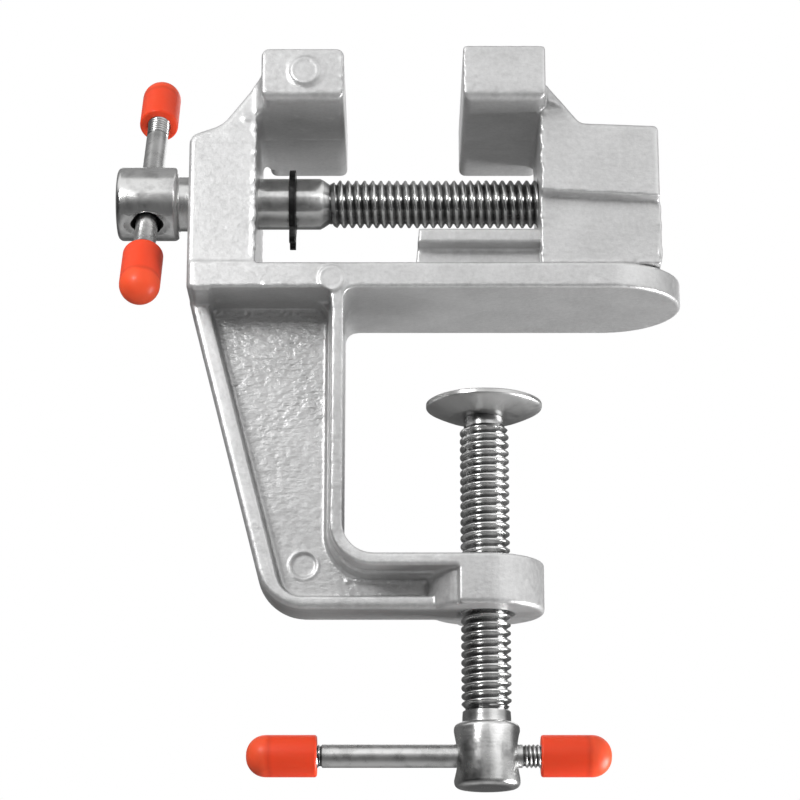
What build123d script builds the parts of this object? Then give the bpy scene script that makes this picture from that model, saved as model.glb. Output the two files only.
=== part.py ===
"""Small clamp-on bench vise: cast frame with a C-clamp below and a sliding jaw above."""

import os
from math import atan2, cos, degrees, radians, sin, tan

from build123d import *

os.makedirs("parts", exist_ok=True)

# ---------------------------------------------------------------- driving sizes, mm
# Origin: clamp screw axis at the underside of the platform. +X opens the jaw, +Z is up.

# Platform
platform_thickness = 3.5
platform_width = 20.2
platform_end_reach = 26.45
frame_left_reach = 39.2
platform_edge_radius = 0.35
frame_corner_radius = 0.9

# C-clamp
throat_height = 35.0
throat_depth = 18.6
throat_corner_radius = 4.0
throat_top_radius = 1.6
platform_end_pad = 3.0
platform_end_drop = 0.35
arm_height = 6.6
arm_width = 15.3
inner_rim_thickness = 1.65
outer_rim_thickness = 2.4
outer_rim_width = 7.8
outer_rim_edge_radius = 0.7
outer_lean = 14.5
bottom_rim_thickness = 1.7
bottom_corner_radius = 6.5
web_thickness = 1.6
pocket_draft = 5.0
pocket_corner_radius = 3.0
pocket_top_radius = 2.4
web_root_radius = 0.5
boss_edge_radius = 0.5
boss_shoulder_length = 3.6
bore_mouth_depth = 0.5

# Fixed pillar
pillar_width = 19.8
pillar_to_jaw = 0.8
pillar_edge_radius = 0.6
pillar_shoulder_height = 21.45
pillar_corner_radius = 1.6
pillar_shelf_length = 4.4
pillar_shelf_rise = 1.6
pillar_sweep_radius = 4.0
pillar_slope_reach = 6.1
pillar_jaw_radius = 1.5

# Jaws
jaw_gap = 15.8
jaw_length = 10.9
jaw_width = 29.2
jaw_underside_height = 24.65
fixed_jaw_height = 7.2
moving_jaw_height = 7.65
jaw_lower_edge = 1.15
jaw_upper_edge = 0.35
fixed_jaw_corner_radius = 1.0
moving_jaw_corner_radius = 0.45
jaw_root_radius = 0.9
jaw_seat_overlap = 0.6

# Jaw block on the moving jaw
block_length = 15.7
block_width = 20.2
skirt_width = 16.4
skirt_extra_length = 0.25
block_top_height = 23.15
block_top_fall = 2.2
block_step_height = 13.5
block_step_fall = 3.0
jaw_to_block_overlap = 0.55
gusset_run = 5.3
gusset_rise = 5.9
gusset_sink = 0.8
gusset_foot_radius = 1.5
block_corner_radius = 0.7
block_edge_radius = 0.5
skirt_overlap = 1.0
skirt_clearance = 0.3

# T-rail on the platform
rail_height = 6.5
rail_head_width = 10.0
rail_head_thickness = 2.0
rail_neck_width = 4.6
rail_length = 31.5
rail_start_from_throat = 10.0
rail_end_slant = 0.7
rail_clearance = 0.2

# Screws
screw_diameter = 6.5
screw_fit = 0.05
lead_axis_height = 15.25
lead_shank_diameter = 6.9
lead_shoulder_diameter = 7.4
lead_shoulder_length = 1.9
lead_head_diameter = 10.0
head_length = 8.3
head_corner_radius = 0.8
ring_to_thread = 4.1
lead_runout_length = 1.35
lead_end_inset = 0.3
screw_end_chamfer = 0.7
screw_root_diameter = 5.4
clamp_head_diameter = 8.5
clamp_neck_length = 1.9
clamp_neck_diameter = 6.3
clamp_screw_length = 40.8
clamp_tip_diameter = 5.6
clamp_tip_length = 1.2
bar_dish_depth = 0.75
bar_dish_diameter = 6.3

# Retaining ring
ring_thickness = 0.8
ring_outer_diameter = 9.2
ring_groove_diameter = 6.2
ring_stand_off = 4.2
ring_gap = 1.1
ring_lug_width = 1.7
ring_lug_reach = 6.0
ring_eye_diameter = 0.8
ring_fit = 0.03

# Clamp pad
pad_diameter = 15.4
pad_rim_thickness = 0.6
pad_depth = 2.05
pad_bulge = 0.45
pad_neck_diameter = 9.2
pad_top_drop = 13.0
pad_recess_diameter = 6.4
pad_recess_depth = 1.0
rivet_pin_diameter = 3.5
rivet_head_diameter = 5.2
rivet_head_thickness = 0.7

# Tommy bars and caps
bar_diameter = 3.0
bar_fit = 0.08
bar_length = 40.7
clamp_bar_span = 28.7
lead_bar_span = 30.5
cap_length = 9.1
cap_diameter = 5.4
cap_bore_depth = 6.4
cap_fit = 0.02
cap_mouth_chamfer = 0.35
cap_dome_radius = 2.6
bar_end_chamfer = 0.3
clamp_bar_reach = 6.9
lead_bar_reach = 11.5
lead_bar_lean = 56.0

# Cast marks left by the ejector pins
mark_depth = 0.14
web_mark_diameter = 3.6
web_mark_from_throat = 5.1
web_mark_below_arm_top = 0.2
rim_mark_diameter = 3.2
rim_mark_from_throat = 1.5
rim_mark_height = 1.2
jaw_mark_diameter = 3.6
jaw_mark_base_diameter = 4.9
jaw_mark_rise = 0.3
jaw_mark_from_face = 5.1
jaw_mark_above_underside = 3.95

# ---------------------------------------------------------------- places worked out
throat_x = -throat_depth
frame_left = -frame_left_reach
half_platform = platform_width / 2
platform_end_centre = platform_end_reach - half_platform
arm_top = -throat_height
arm_bottom = arm_top - arm_height
half_arm = arm_width / 2
fixed_face = throat_x
moving_face = fixed_face + jaw_gap
fixed_jaw_left = fixed_face - jaw_length
pillar_right = fixed_jaw_left - pillar_to_jaw
block_left = moving_face + jaw_length - jaw_to_block_overlap
block_right = block_left + block_length
rail_left = throat_x + rail_start_from_throat
rail_right = rail_left + rail_length
rail_top = platform_thickness + rail_height
rail_head_bottom = rail_top - rail_head_thickness
shoulder_left = frame_left - lead_shoulder_length
head_left = shoulder_left - head_length
ring_left = pillar_right + ring_stand_off
shank_right = ring_left + ring_to_thread
lead_end = block_right - lead_end_inset
pad_top = -pad_top_drop
pad_bottom = pad_top - pad_depth
screw_top = pad_bottom - screw_fit
clamp_neck_bottom = screw_top - clamp_screw_length
clamp_head_bottom = clamp_neck_bottom - head_length
clamp_bar_height = clamp_neck_bottom - head_length / 2
lead_axis = Axis((0, 0, lead_axis_height), (1, 0, 0))


def outer_wall_x(height):
    """X of the outer face of the C at a height below the platform."""
    return frame_left - height * tan(radians(outer_lean))


def jaw_bar(face_left, height, corner_radius):
    """One jaw: a rounded bar across the vise, bevelled along its lower front and back edges."""
    with BuildPart() as jaw:
        with BuildSketch(Plane.XZ):
            with Locations((face_left + jaw_length / 2, jaw_underside_height + height / 2)):
                Rectangle(jaw_length, height)
        extrude(amount=jaw_width / 2, both=True)
        along_y = jaw.edges().filter_by(Axis.Y).group_by(Axis.Z)
        fillet(along_y[-1], radius=corner_radius)
        for end in (0, -1):
            face_edges = jaw.faces().sort_by(Axis.Y)[end].edges().sort_by(Axis.Z)
            fillet(face_edges[1:], radius=jaw_upper_edge)
        fillet(jaw.edges().filter_by(Axis.X).group_by(Axis.Z)[0], radius=jaw_lower_edge)
    return jaw.part


def nearest_corner(across, up):
    """The corner of the sketch in hand that lies nearest to a point of its plane."""
    return vertices().sort_by_distance((across, up, 0))[:1]


# ---------------------------------------------------------------- vise frame, one casting
# C-shaped spine: outer rim, web and the part of the inner rim that lies inside it.
with BuildPart() as spine:
    with BuildSketch(Plane.XZ):
        with BuildLine():
            Polyline(
                (frame_left, 0),
                (throat_x, 0),
                (throat_x, arm_top),
                (0, arm_top),
                (0, arm_bottom),
                (outer_wall_x(arm_bottom), arm_bottom),
                close=True,
            )
        make_face()
        fillet(nearest_corner(outer_wall_x(arm_bottom), arm_bottom), radius=bottom_corner_radius)
        fillet(nearest_corner(throat_x, arm_top), radius=throat_corner_radius)
    extrude(amount=outer_rim_width / 2, both=True)
    outer_wall_edges = spine.edges().filter_by(Axis.Y, reverse=True).sort_by(Axis.X)[:2]
    fillet(outer_wall_edges, radius=outer_rim_edge_radius)

# Inner rim: a band round the throat, as wide as the platform above and as the arm below.
throat_top_middle = throat_top_radius * (1 - cos(radians(45)))
with BuildPart() as inner_rim:
    with BuildSketch(Plane.XZ):
        with BuildLine():
            ThreePointArc(
                (throat_x + throat_top_radius, 0),
                (throat_x + throat_top_middle, -throat_top_middle),
                (throat_x, -throat_top_radius),
            )
            Polyline(
                (throat_x + throat_top_radius, 0),
                (throat_x + throat_top_radius, platform_thickness / 2),
                (throat_x - inner_rim_thickness, platform_thickness / 2),
                (throat_x - inner_rim_thickness, arm_top - inner_rim_thickness),
                (0, arm_top - inner_rim_thickness),
                (0, arm_top),
                (throat_x, arm_top),
                (throat_x, -throat_top_radius),
            )
        make_face()
        fillet(nearest_corner(throat_x, arm_top), radius=throat_corner_radius)
        fillet(
            nearest_corner(throat_x - inner_rim_thickness, arm_top - inner_rim_thickness),
            radius=throat_corner_radius + inner_rim_thickness,
        )
    extrude(amount=half_platform, both=True)
    with BuildSketch(Plane.YZ):
        with BuildLine():
            Polyline(
                (-half_platform, 0),
                (-half_platform + platform_edge_radius, platform_thickness / 2),
                (half_platform - platform_edge_radius, platform_thickness / 2),
                (half_platform, 0),
                (half_arm, arm_top + throat_corner_radius / 2),
                (half_arm, arm_bottom),
                (-half_arm, arm_bottom),
                (-half_arm, arm_top + throat_corner_radius / 2),
                close=True,
            )
        make_face()
    extrude(amount=2 * frame_left_reach, both=True, mode=Mode.INTERSECT)

# Pocket on each side of the web, drafted so that it opens outwards.
pocket_depth = half_platform
draft_shift = (outer_rim_width - web_thickness) / 2 * tan(radians(pocket_draft))
arm_shift = (arm_width - web_thickness) / 2 * tan(radians(pocket_draft))
pocket_right = throat_x - inner_rim_thickness - arm_shift
pocket_roof = arm_top - inner_rim_thickness - arm_shift
pocket_floor = arm_bottom + bottom_rim_thickness + draft_shift


def pocket_left(height):
    """X of the pocket's outer side at the web."""
    return outer_wall_x(height) + outer_rim_thickness + draft_shift


with BuildPart() as pocket:
    with BuildSketch(Plane.XZ.offset(web_thickness / 2)):
        with BuildLine():
            Polyline(
                (pocket_left(0), 0),
                (pocket_right, 0),
                (pocket_right, pocket_roof),
                (half_arm, pocket_roof),
                (half_arm, pocket_floor),
                (pocket_left(pocket_floor), pocket_floor),
                close=True,
            )
        make_face()
        fillet(nearest_corner(pocket_left(pocket_floor), pocket_floor), radius=pocket_corner_radius)
        fillet(nearest_corner(pocket_right, 0), radius=pocket_top_radius)
        fillet(
            nearest_corner(pocket_right, pocket_roof),
            radius=throat_corner_radius + inner_rim_thickness + arm_shift,
        )
    extrude(amount=pocket_depth, taper=-pocket_draft)
    fillet(pocket.faces().sort_by(Axis.Y)[-1].edges(), radius=web_root_radius)

# Round boss at the end of the arm, which carries the clamp screw, with square shoulders.
with BuildPart() as boss:
    with BuildSketch(Plane.XY.offset(arm_bottom)):
        Circle(half_arm)
        with Locations((-boss_shoulder_length / 2, 0)):
            Rectangle(boss_shoulder_length, arm_width)
    extrude(amount=arm_height)
    fillet(boss.edges().group_by(Axis.Z)[0], radius=boss_edge_radius)

# The C as one piece, with its pockets and the boss.
with BuildPart() as c_clamp:
    add(spine.part)
    add(inner_rim.part)
    add(pocket.part, mode=Mode.SUBTRACT)
    add(pocket.part.mirror(Plane.XZ), mode=Mode.SUBTRACT)
    add(boss.part)

# Profile of the pillar, seen from the front.
pillar_shelf_x = frame_left + pillar_shelf_length
pillar_shelf_z = pillar_shoulder_height + pillar_shelf_rise
slope_top_x = fixed_jaw_left + jaw_seat_overlap
slope_top_z = jaw_underside_height + pillar_slope_reach


def pillar_profile(width):
    """The pillar's front view as a solid of a given width across the vise."""
    with BuildPart() as block:
        with BuildSketch(Plane.XZ):
            with BuildLine():
                Polyline(
                    (frame_left, platform_thickness / 2),
                    (frame_left, pillar_shoulder_height),
                    (pillar_shelf_x, pillar_shelf_z),
                    (slope_top_x, slope_top_z),
                    (slope_top_x, jaw_underside_height),
                    (pillar_right, jaw_underside_height),
                    (pillar_right, platform_thickness / 2),
                    close=True,
                )
            make_face()
            fillet(nearest_corner(frame_left, pillar_shoulder_height), radius=pillar_corner_radius)
            fillet(nearest_corner(pillar_shelf_x, pillar_shelf_z), radius=pillar_sweep_radius)
        extrude(amount=width / 2, both=True)
    return block.part


with BuildPart() as pillar:
    add(pillar_profile(pillar_width))
    outer_edges = pillar.faces().sort_by(Axis.X)[0].edges().filter_by(Axis.Z)
    fillet(outer_edges, radius=pillar_edge_radius)

# Hollow corners in plan where the pillar widens into the jaw, as high as the slope lets them be.
gusset_seat = pillar_width / 2 - jaw_seat_overlap
gusset_edge = pillar_width / 2 + pillar_jaw_radius
gusset_middle = pillar_jaw_radius * (1 - cos(radians(45)))
with BuildPart() as jaw_corners:
    with BuildSketch(Plane.XY.offset(jaw_underside_height)):
        for side in (1, -1):
            with BuildLine():
                hollow = ThreePointArc(
                    (fixed_jaw_left - pillar_jaw_radius, side * pillar_width / 2),
                    (fixed_jaw_left - gusset_middle, side * (pillar_width / 2 + gusset_middle)),
                    (fixed_jaw_left, side * gusset_edge),
                )
                Polyline(
                    hollow @ 1,
                    (slope_top_x, side * gusset_edge),
                    (slope_top_x, side * gusset_seat),
                    (fixed_jaw_left - pillar_jaw_radius, side * gusset_seat),
                    hollow @ 0,
                )
            make_face()
    extrude(amount=pillar_slope_reach)
    add(pillar_profile(jaw_width), mode=Mode.INTERSECT)

with BuildPart() as vise_frame:
    # Platform with a round right end
    with BuildSketch():
        with Locations(((frame_left + platform_end_centre) / 2, 0)):
            Rectangle(platform_end_centre - frame_left, platform_width)
        with Locations((platform_end_centre, 0)):
            Circle(half_platform)
    extrude(amount=platform_thickness)
    fillet(vise_frame.edges().filter_by(Axis.Z).group_by(Axis.X)[0], radius=frame_corner_radius)
    fillet(vise_frame.edges().group_by(Axis.Z)[0], radius=platform_edge_radius)

    # Pillar and fixed jaw
    add(pillar.part)
    add(jaw_bar(fixed_jaw_left, fixed_jaw_height, fixed_jaw_corner_radius))
    add(jaw_corners.part)
    under_jaw = vise_frame.edges().filter_by(Axis.Y).filter_by(
        lambda edge: abs(edge.center().X - pillar_right) < 0.01
        and abs(edge.center().Z - jaw_underside_height) < 0.01
    )
    fillet(under_jaw, radius=jaw_root_radius)

    # C-clamp below the platform
    add(c_clamp.part)
    with BuildSketch():
        with Locations((frame_left + platform_end_pad / 2 + frame_corner_radius / 2, 0)):
            Rectangle(platform_end_pad - frame_corner_radius, pillar_width)
    extrude(amount=-platform_end_drop)

    # T-rail: a section across the vise, with its left end cut at a slant
    with BuildSketch(Plane.YZ.offset(rail_left - rail_end_slant)):
        with BuildLine():
            Polyline(
                (-rail_neck_width / 2, platform_thickness / 2),
                (rail_neck_width / 2, platform_thickness / 2),
                (rail_neck_width / 2, rail_head_bottom),
                (rail_head_width / 2, rail_head_bottom),
                (rail_head_width / 2, rail_top),
                (-rail_head_width / 2, rail_top),
                (-rail_head_width / 2, rail_head_bottom),
                (-rail_neck_width / 2, rail_head_bottom),
                close=True,
            )
        make_face()
    extrude(amount=rail_right - rail_left + rail_end_slant)
    with BuildSketch(Plane.XZ):
        with BuildLine():
            Polyline(
                (rail_left - rail_end_slant - 1.0, platform_thickness),
                (rail_left - rail_end_slant, platform_thickness),
                (rail_left, rail_top),
                (rail_left, rail_top + 1.0),
                (rail_left - rail_end_slant - 1.0, rail_top + 1.0),
                close=True,
            )
        make_face()
    extrude(amount=rail_head_width, both=True, mode=Mode.SUBTRACT)

    # Bore for the lead screw shank, through the pillar
    with BuildSketch(Plane.YZ.offset(frame_left)):
        with Locations((0, lead_axis_height)):
            Circle(lead_shank_diameter / 2 + screw_fit)
    extrude(amount=pillar_right - frame_left, mode=Mode.SUBTRACT)

    # Threaded bore for the clamp screw, through the boss, opened out below
    with BuildSketch(Plane.XY.offset(arm_bottom)):
        Circle(screw_diameter / 2 + screw_fit)
    extrude(amount=arm_height, mode=Mode.SUBTRACT)
    with BuildSketch(Plane.XY.offset(arm_bottom)):
        Circle(screw_diameter / 2 + screw_fit + bore_mouth_depth)
    extrude(amount=bore_mouth_depth, taper=45, mode=Mode.SUBTRACT)

    # Round marks of the casting: sunk in the web, raised on the platform's edge and on the jaw
    with BuildSketch(Plane.XZ.offset(web_thickness / 2)):
        with Locations((throat_x - web_mark_from_throat, arm_top - web_mark_below_arm_top)):
            Circle(web_mark_diameter / 2)
    extrude(amount=-mark_depth, mode=Mode.SUBTRACT)
    with BuildSketch(Plane.XZ.offset(half_platform + mark_depth)):
        with Locations((throat_x - rim_mark_from_throat, rim_mark_height)):
            Circle(rim_mark_diameter / 2)
    extrude(amount=-mark_depth - platform_edge_radius)
    mark_slope = atan2(jaw_mark_base_diameter - jaw_mark_diameter, 2 * jaw_mark_rise)
    with BuildSketch(Plane.XZ.offset(jaw_width / 2)):
        with Locations((fixed_face - jaw_mark_from_face, jaw_underside_height + jaw_mark_above_underside)):
            Circle(jaw_mark_base_diameter / 2)
    extrude(amount=jaw_mark_rise, taper=degrees(mark_slope))
vise_frame.part.label = "vise_frame"

# ---------------------------------------------------------------- moving jaw, one casting
gusset_foot_x = block_left + gusset_run
gusset_top_x = block_left + jaw_to_block_overlap
gusset_top_z = block_top_height + gusset_rise
top_fall_rate = tan(radians(block_top_fall))
step_fall_rate = tan(radians(block_step_fall))
block_top_end_z = block_top_height - (block_length - gusset_run) * top_fall_rate
step_end_z = block_step_height - block_length * step_fall_rate
skirt_bottom = platform_thickness + skirt_clearance
skirt_right = block_right + skirt_extra_length

# Upper half of the block with the gusset behind the jaw and a hollow root under the jaw
with BuildPart() as jaw_block:
    with BuildSketch(Plane.XZ):
        with BuildLine():
            Polyline(
                (block_left, block_step_height),
                (block_left, jaw_underside_height),
                (block_left - 2 * jaw_root_radius, jaw_underside_height),
                (block_left - 2 * jaw_root_radius, jaw_underside_height + jaw_root_radius),
                (gusset_top_x - gusset_sink, jaw_underside_height + jaw_root_radius),
                (gusset_top_x - gusset_sink, gusset_top_z + gusset_sink),
                (gusset_top_x, gusset_top_z),
                (gusset_foot_x, block_top_height),
                (block_right, block_top_end_z),
                (block_right, step_end_z),
                close=True,
            )
        make_face()
        fillet(nearest_corner(block_left, jaw_underside_height), radius=jaw_root_radius)
        fillet(nearest_corner(block_right, block_top_end_z), radius=block_corner_radius)
        fillet(nearest_corner(gusset_foot_x, block_top_height), radius=gusset_foot_radius)
    extrude(amount=block_width / 2, both=True)
    block_top_edges = jaw_block.edges().filter_by(Axis.Y, reverse=True).filter_by(
        lambda edge: edge.center().X > block_left + gusset_run and edge.center().Z > block_top_end_z
    )
    fillet(block_top_edges, radius=block_edge_radius)

with BuildPart() as moving_jaw:
    add(jaw_bar(moving_face, moving_jaw_height, moving_jaw_corner_radius))
    add(jaw_block.part)

    # Skirt: the narrower lower half that wraps the rail
    with BuildSketch(Plane.XZ):
        with BuildLine():
            Polyline(
                (block_left, skirt_bottom),
                (block_left, block_step_height + skirt_overlap),
                (skirt_right, step_end_z),
                (skirt_right, skirt_bottom),
                close=True,
            )
        make_face()
        fillet(nearest_corner(skirt_right, skirt_bottom), radius=block_corner_radius)
        fillet(nearest_corner(skirt_right, step_end_z), radius=block_corner_radius)
    extrude(amount=skirt_width / 2, both=True)

    # T-slot for the rail
    with BuildSketch(Plane.YZ.offset(block_left)):
        with BuildLine():
            Polyline(
                (-rail_neck_width / 2 - rail_clearance, skirt_bottom),
                (rail_neck_width / 2 + rail_clearance, skirt_bottom),
                (rail_neck_width / 2 + rail_clearance, rail_head_bottom - rail_clearance),
                (rail_head_width / 2 + rail_clearance, rail_head_bottom - rail_clearance),
                (rail_head_width / 2 + rail_clearance, rail_top + rail_clearance),
                (-rail_head_width / 2 - rail_clearance, rail_top + rail_clearance),
                (-rail_head_width / 2 - rail_clearance, rail_head_bottom - rail_clearance),
                (-rail_neck_width / 2 - rail_clearance, rail_head_bottom - rail_clearance),
                close=True,
            )
        make_face()
    extrude(amount=block_length + skirt_extra_length, mode=Mode.SUBTRACT)

    # Threaded bore for the lead screw
    with BuildSketch(Plane.YZ.offset(block_left)):
        with Locations((0, lead_axis_height)):
            Circle(screw_diameter / 2 + screw_fit)
    extrude(amount=block_length + skirt_extra_length, mode=Mode.SUBTRACT)
moving_jaw.part.label = "moving_jaw"

# ---------------------------------------------------------------- lead screw with its head
bar_lean = radians(lead_bar_lean)
lead_bar_x = head_left + head_length / 2
lead_bar_direction = Vector(0, cos(bar_lean), sin(bar_lean))
lead_bar_centre = Vector(lead_bar_x, 0, lead_axis_height)
groove_left = ring_left - ring_fit
groove_right = ring_left + ring_thickness + ring_fit
dish_radius = ((bar_dish_diameter / 2) ** 2 + bar_dish_depth**2) / (2 * bar_dish_depth)


def lead_height(diameter):
    """Height of the top of a turned step of the lead screw."""
    return lead_axis_height + diameter / 2


with BuildPart() as lead_screw:
    with BuildSketch(Plane.XZ):
        with BuildLine():
            Polyline(
                (head_left, lead_axis_height),
                (head_left, lead_height(lead_head_diameter)),
                (shoulder_left, lead_height(lead_head_diameter)),
                (shoulder_left, lead_height(lead_shoulder_diameter)),
                (frame_left, lead_height(lead_shoulder_diameter)),
                (frame_left, lead_height(lead_shank_diameter)),
                (groove_left, lead_height(lead_shank_diameter)),
                (groove_left, lead_height(ring_groove_diameter)),
                (groove_right, lead_height(ring_groove_diameter)),
                (groove_right, lead_height(lead_shank_diameter)),
                (shank_right, lead_height(lead_shank_diameter)),
                (shank_right + lead_runout_length, lead_height(screw_root_diameter)),
                (shank_right + lead_runout_length, lead_height(screw_diameter)),
                (lead_end - screw_end_chamfer, lead_height(screw_diameter)),
                (lead_end, lead_height(screw_diameter) - screw_end_chamfer),
                (lead_end, lead_axis_height),
                close=True,
            )
        make_face()
        for across in (head_left, shoulder_left):
            fillet(
                nearest_corner(across, lead_height(lead_head_diameter)), radius=head_corner_radius
            )
    revolve(axis=lead_axis)

    # Cross hole for the bar, with a dished mouth at each end
    bar_plane = Plane(lead_bar_centre, x_dir=(1, 0, 0), z_dir=lead_bar_direction)
    with BuildSketch(bar_plane):
        Circle(bar_diameter / 2 + bar_fit)
    extrude(amount=lead_head_diameter, both=True, mode=Mode.SUBTRACT)
    for side in (1, -1):
        dish_reach = lead_head_diameter / 2 - bar_dish_depth + dish_radius
        with Locations(lead_bar_centre + lead_bar_direction * (side * dish_reach)):
            Sphere(dish_radius, mode=Mode.SUBTRACT)
lead_screw.part.label = "lead_screw"

# ---------------------------------------------------------------- retaining ring on the shank
with BuildPart() as retaining_ring:
    with BuildSketch(Plane.YZ.offset(ring_left)):
        with Locations((0, lead_axis_height)):
            Circle(ring_outer_diameter / 2)
        lug_height = ring_lug_reach - ring_groove_diameter / 2
        for side in (1, -1):
            lug_across = side * (ring_gap + ring_lug_width) / 2
            with Locations((lug_across, lead_axis_height - ring_lug_reach + lug_height / 2)):
                RectangleRounded(ring_lug_width, lug_height, ring_lug_width / 2.5)
        with Locations((0, lead_axis_height)):
            Circle(ring_groove_diameter / 2 + ring_fit, mode=Mode.SUBTRACT)
        with Locations((0, lead_axis_height - ring_lug_reach)):
            Rectangle(ring_gap, 2 * ring_lug_reach, mode=Mode.SUBTRACT)
        eye_height = lead_axis_height - ring_lug_reach + ring_lug_width / 2
        for side in (1, -1):
            with Locations((side * (ring_gap + ring_lug_width) / 2, eye_height)):
                Circle(ring_eye_diameter / 2, mode=Mode.SUBTRACT)
    extrude(amount=ring_thickness)
retaining_ring.part.label = "retaining_ring"


# ---------------------------------------------------------------- bars and their caps
def tommy_bar(middle_plane, near_reach, span):
    """A plain rod along the plane's Z axis, with both ends hidden in its caps."""
    with BuildPart() as bar:
        with BuildSketch(middle_plane.offset(-near_reach - (bar_length - span) / 2)):
            Circle(bar_diameter / 2)
        extrude(amount=bar_length)
        chamfer(bar.edges().filter_by(GeomType.CIRCLE), length=bar_end_chamfer)
    return bar.part


def bar_cap(mouth_plane):
    """A dipped cap: round outside, domed at the end, bored from the mouth inwards."""
    with BuildPart() as cap:
        with BuildSketch(mouth_plane):
            Circle(cap_diameter / 2)
        extrude(amount=cap_length)
        fillet(cap.faces().sort_by(mouth_plane_axis(mouth_plane))[-1].edges(), radius=cap_dome_radius)
        with BuildSketch(mouth_plane):
            Circle(bar_diameter / 2 + cap_fit)
        extrude(amount=cap_bore_depth, mode=Mode.SUBTRACT)
        with BuildSketch(mouth_plane):
            Circle(bar_diameter / 2 + cap_fit + cap_mouth_chamfer)
        extrude(amount=cap_mouth_chamfer, taper=45, mode=Mode.SUBTRACT)
    return cap.part


def mouth_plane_axis(mouth_plane):
    """Axis out of a plane, along which the cap grows."""
    return Axis(mouth_plane.origin, mouth_plane.z_dir)


def flipped(plane):
    """The same plane looking the other way."""
    return Plane(plane.origin, x_dir=plane.x_dir, z_dir=-plane.z_dir)


with BuildPart() as lead_bar:
    add(tommy_bar(bar_plane, lead_bar_reach, lead_bar_span))
lead_bar.part.label = "lead_bar"

with BuildPart() as lead_bar_cap_lower:
    add(bar_cap(flipped(bar_plane.offset(-lead_bar_reach))))
lead_bar_cap_lower.part.label = "lead_bar_cap_lower"

with BuildPart() as lead_bar_cap_upper:
    add(bar_cap(bar_plane.offset(lead_bar_span - lead_bar_reach)))
lead_bar_cap_upper.part.label = "lead_bar_cap_upper"

clamp_bar_plane = Plane((0, 0, clamp_bar_height), x_dir=(0, 1, 0), z_dir=(-1, 0, 0))

with BuildPart() as clamp_bar:
    add(tommy_bar(clamp_bar_plane, clamp_bar_reach, clamp_bar_span))
clamp_bar.part.label = "clamp_bar"

with BuildPart() as clamp_bar_cap_right:
    add(bar_cap(flipped(clamp_bar_plane.offset(-clamp_bar_reach))))
clamp_bar_cap_right.part.label = "clamp_bar_cap_right"

with BuildPart() as clamp_bar_cap_left:
    add(bar_cap(clamp_bar_plane.offset(clamp_bar_span - clamp_bar_reach)))
clamp_bar_cap_left.part.label = "clamp_bar_cap_left"

# ---------------------------------------------------------------- clamp screw with its head
rivet_top = pad_top - pad_recess_depth + screw_fit + rivet_head_thickness
rivet_bottom = pad_top - pad_recess_depth + screw_fit

with BuildPart() as clamp_screw:
    with BuildSketch(Plane.XZ):
        with BuildLine():
            Polyline(
                (0, rivet_top),
                (rivet_head_diameter / 2, rivet_top),
                (rivet_head_diameter / 2, rivet_bottom),
                (rivet_pin_diameter / 2, rivet_bottom),
                (rivet_pin_diameter / 2, screw_top),
                (clamp_tip_diameter / 2, screw_top),
                (clamp_tip_diameter / 2, screw_top - clamp_tip_length),
                (screw_diameter / 2, screw_top - clamp_tip_length),
                (screw_diameter / 2, clamp_neck_bottom + clamp_neck_length),
                (clamp_neck_diameter / 2, clamp_neck_bottom + clamp_neck_length),
                (clamp_neck_diameter / 2, clamp_neck_bottom),
                (clamp_head_diameter / 2, clamp_neck_bottom),
                (clamp_head_diameter / 2, clamp_head_bottom),
                (0, clamp_head_bottom),
                close=True,
            )
        make_face()
        for height in (clamp_neck_bottom, clamp_head_bottom):
            fillet(nearest_corner(clamp_head_diameter / 2, height), radius=head_corner_radius)
        fillet(nearest_corner(rivet_head_diameter / 2, rivet_top), radius=rivet_head_thickness / 2)
    revolve(axis=Axis.Z)

    # Cross hole for the bar, with a dished mouth at each end
    with BuildSketch(clamp_bar_plane):
        Circle(bar_diameter / 2 + bar_fit)
    extrude(amount=clamp_head_diameter, both=True, mode=Mode.SUBTRACT)
    for side in (1, -1):
        dish_reach = clamp_head_diameter / 2 - bar_dish_depth + dish_radius
        with Locations((side * dish_reach, 0, clamp_bar_height)):
            Sphere(dish_radius, mode=Mode.SUBTRACT)
clamp_screw.part.label = "clamp_screw"

# ---------------------------------------------------------------- swivel pad on the screw's tip
with BuildPart() as clamp_pad:
    with BuildSketch(Plane.XZ):
        with BuildLine():
            rim = Polyline(
                (pad_neck_diameter / 2, pad_bottom),
                (0, pad_bottom),
                (0, pad_top),
                (pad_diameter / 2, pad_top),
                (pad_diameter / 2, pad_top - pad_rim_thickness),
            )
            ThreePointArc(
                rim @ 1,
                (
                    (pad_diameter + pad_neck_diameter) / 4 + pad_bulge,
                    pad_top - (pad_depth + pad_rim_thickness) / 2 - pad_bulge,
                ),
                rim @ 0,
            )
        make_face()
    revolve(axis=Axis.Z)
    with BuildSketch(Plane.XY.offset(pad_top)):
        Circle(pad_recess_diameter / 2)
    extrude(amount=-pad_recess_depth, mode=Mode.SUBTRACT)
    with BuildSketch(Plane.XY.offset(pad_bottom)):
        Circle(rivet_pin_diameter / 2 + screw_fit)
    extrude(amount=pad_depth, mode=Mode.SUBTRACT)
clamp_pad.part.label = "clamp_pad"

# ---------------------------------------------------------------- one file for each piece
for piece in (
    vise_frame,
    moving_jaw,
    lead_screw,
    retaining_ring,
    lead_bar,
    lead_bar_cap_lower,
    lead_bar_cap_upper,
    clamp_screw,
    clamp_pad,
    clamp_bar,
    clamp_bar_cap_left,
    clamp_bar_cap_right,
):
    export_step(piece.part, f"parts/{piece.part.label}.step")
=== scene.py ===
"""Small clamp-on bench vise, dressed for rendering round its CAD frame.

Laid out as an add-on: one operator for each piece or group of like pieces, and one for the stage.
"""

import math

import bmesh
import bpy
import numpy as np
from bpy.props import FloatProperty, FloatVectorProperty, IntProperty, PointerProperty
from mathutils import Matrix, Vector, noise


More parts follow.
